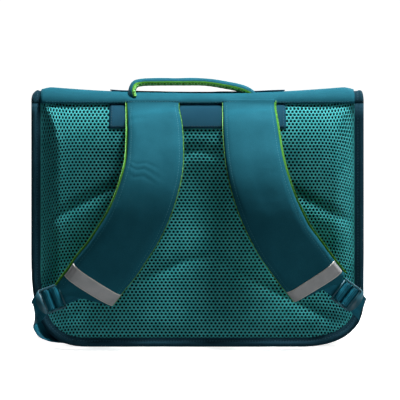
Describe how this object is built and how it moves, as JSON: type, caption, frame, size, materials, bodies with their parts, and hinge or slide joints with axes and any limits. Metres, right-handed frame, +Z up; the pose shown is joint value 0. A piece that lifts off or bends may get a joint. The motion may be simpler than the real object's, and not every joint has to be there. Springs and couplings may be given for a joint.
{
  "type": "school ransel",
  "caption": "Wide box school satchel worn on the back, with a padded air-mesh back, curved shoulder straps on ladder locks, a carrying handle and a flap.",
  "frame": {"origin": "middle of the base, on the floor that the bag stands on", "axes": "+X across the bag, +Y from the carrying side to the flap's front, +Z up"},
  "size_m": [0.4093, 0.2457, 0.3281],
  "materials": {
    "teal_cloth": "coated cloth, matt",
    "air_mesh": "spacer mesh, matt",
    "petrol_binding": "woven, matt",
    "lime_mesh": "spacer mesh, matt",
    "reflective_tape": "reflective, satin",
    "webbing": "woven, matt",
    "moulded": "moulded, satin"
  },
  "bodies": {
    "root": {"back_pad": "air_mesh", "gusset": "teal_cloth", "front_panel": "teal_cloth", "back_binding": "petrol_binding", "front_binding": "petrol_binding", "flap": "teal_cloth", "flap_binding": "petrol_binding", "strap_patch": "petrol_binding", "handle_patch": "petrol_binding", "carry_handle": "teal_cloth", "handle_lining": "lime_mesh", "shoulder_strap_left": "teal_cloth", "strap_lining_left": "lime_mesh", "reflective_tape_left": "reflective_tape", "strap_webbing_left": "webbing", "ladder_lock_left": "moulded", "adjuster_webbing_left": "webbing", "clasp_left": "moulded", "shoulder_strap_right": "teal_cloth", "strap_lining_right": "lime_mesh", "reflective_tape_right": "reflective_tape", "strap_webbing_right": "webbing", "ladder_lock_right": "moulded", "adjuster_webbing_right": "webbing", "clasp_right": "moulded"}
  },
  "joints": []
}
